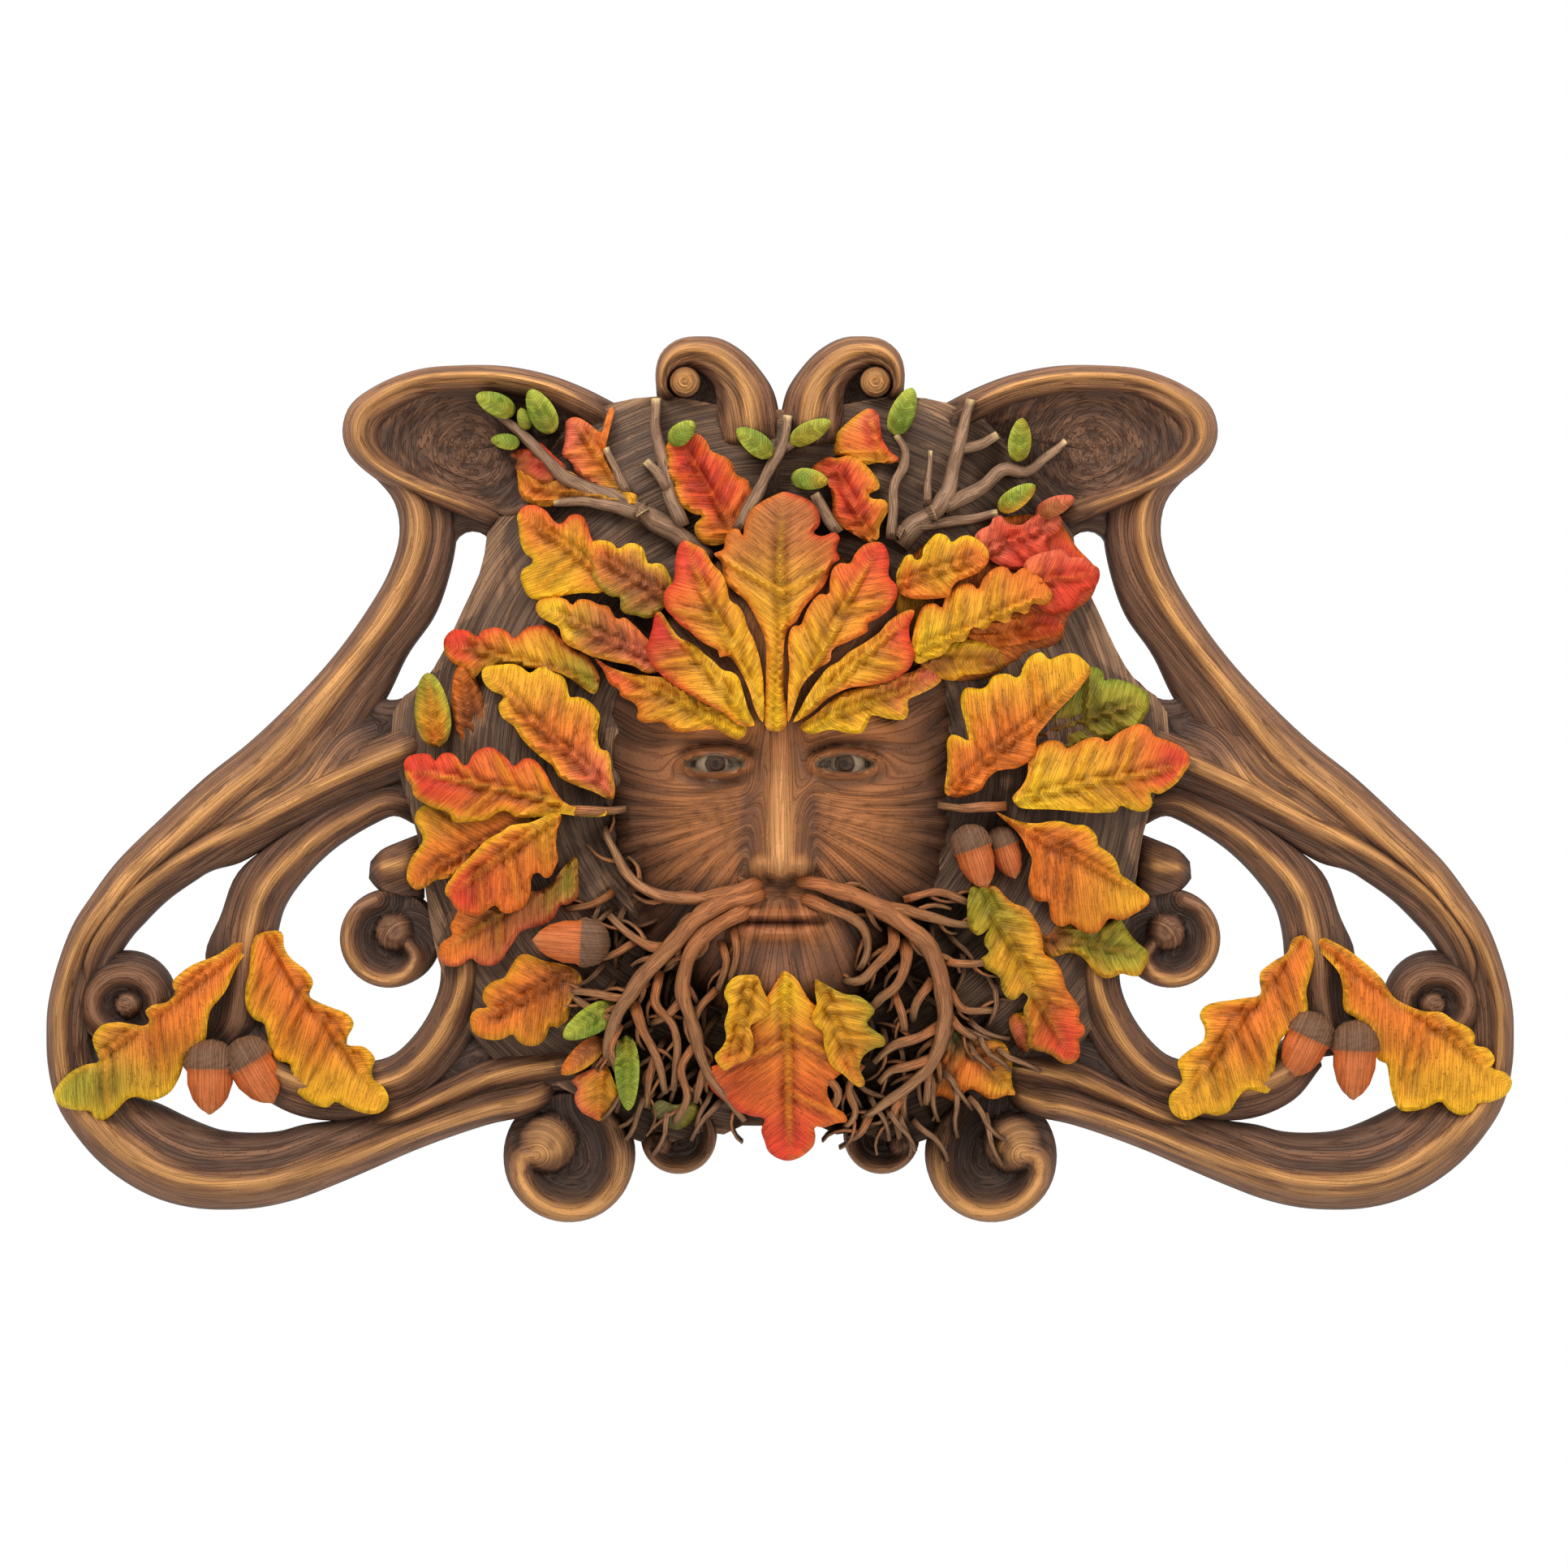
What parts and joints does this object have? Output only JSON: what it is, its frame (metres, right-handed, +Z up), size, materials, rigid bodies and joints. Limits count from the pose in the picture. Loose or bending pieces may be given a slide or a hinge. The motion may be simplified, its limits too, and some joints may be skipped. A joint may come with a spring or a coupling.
{
  "type": "foliate mask wall plaque",
  "caption": "Wall plaque: a foliate mask among oak leaves, acorns, roots and twigs in an open scrolled frame, flat behind with a recess to hang it by.",
  "frame": {"origin": "on the flat back, in the middle of the plaque's width and height, where it lies against the wall", "axes": "+X to the viewer's right along the width, +Y back into the wall, +Z up; the relief faces -Y"},
  "size_m": [0.34, 0.0493, 0.205],
  "materials": {
    "painted_resin": "hand-painted matt, dry-brushed"
  },
  "bodies": {
    "root": {"plaque": "painted_resin"}
  },
  "joints": []
}
